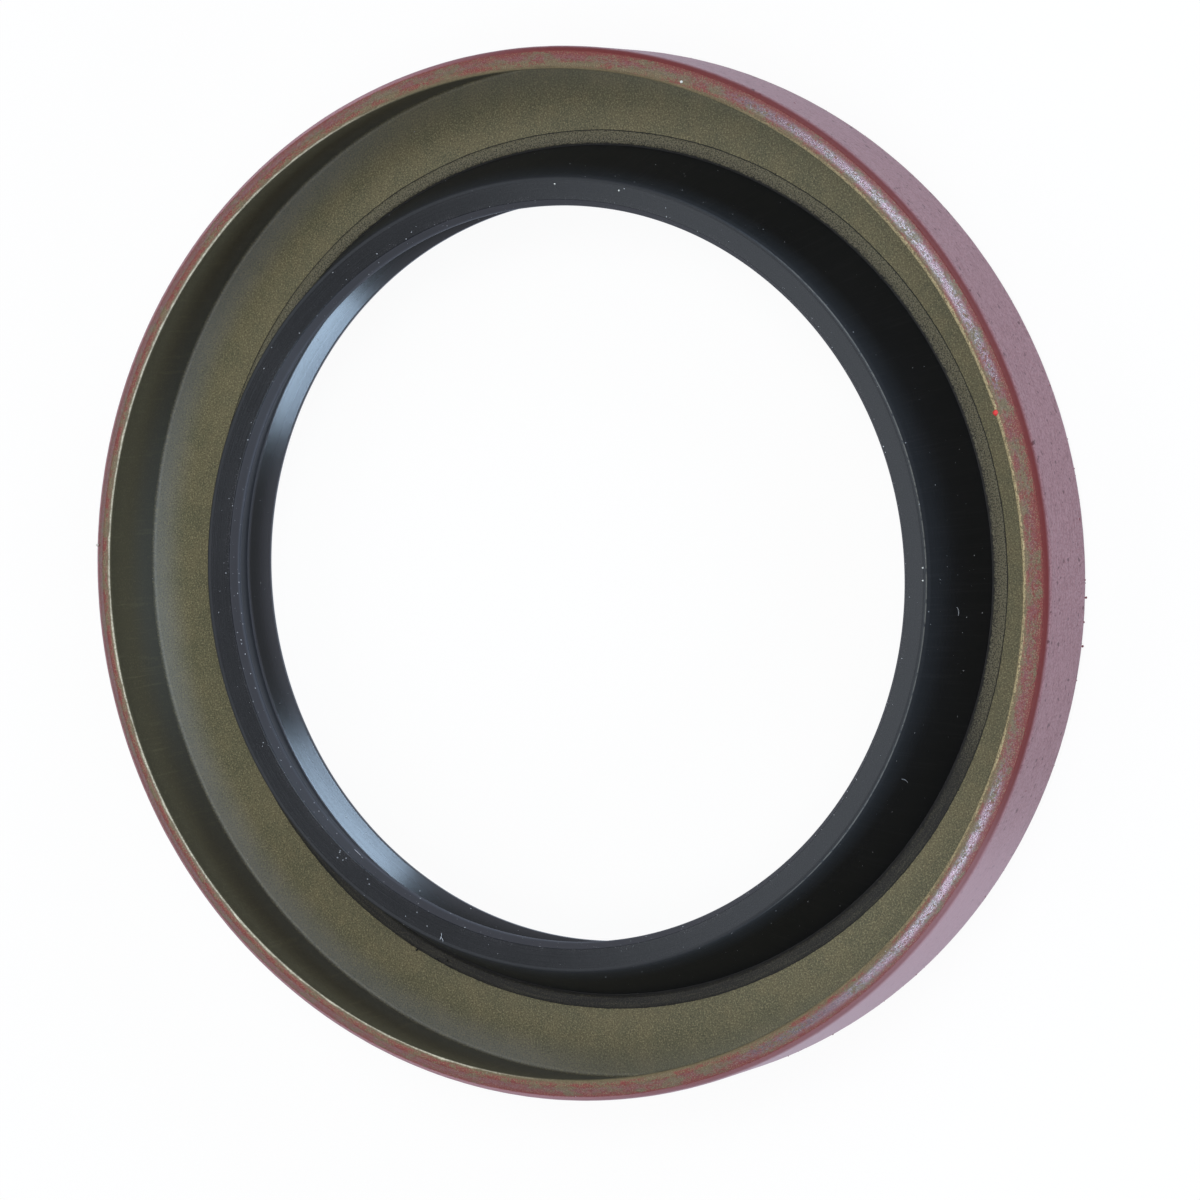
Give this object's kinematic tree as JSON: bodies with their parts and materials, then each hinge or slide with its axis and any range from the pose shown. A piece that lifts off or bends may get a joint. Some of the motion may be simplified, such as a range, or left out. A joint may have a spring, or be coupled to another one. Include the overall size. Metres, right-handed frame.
{
  "type": "radial shaft seal",
  "caption": "Springless radial shaft seal: L-section steel case with red sealant on the outside and a black rubber lip bonded to its flange.",
  "frame": {"origin": "centre of the back face, on the shaft's axis", "axes": "+Z along the shaft's axis, from the closed back of the case to its open front, where the lip points"},
  "size_m": [0.085, 0.085, 0.01],
  "materials": {
    "phosphated_steel": "olive-brown phosphate and bonding coat, fine grain, worn bright at the front edge",
    "red_sealant": "dark red sealing paint, satin, with small pits",
    "black_rubber": "black moulded rubber, smooth, trimmed lip"
  },
  "bodies": {
    "root": {"case": "phosphated_steel", "sealant_coat": "red_sealant", "sealing_element": "black_rubber"}
  },
  "joints": []
}
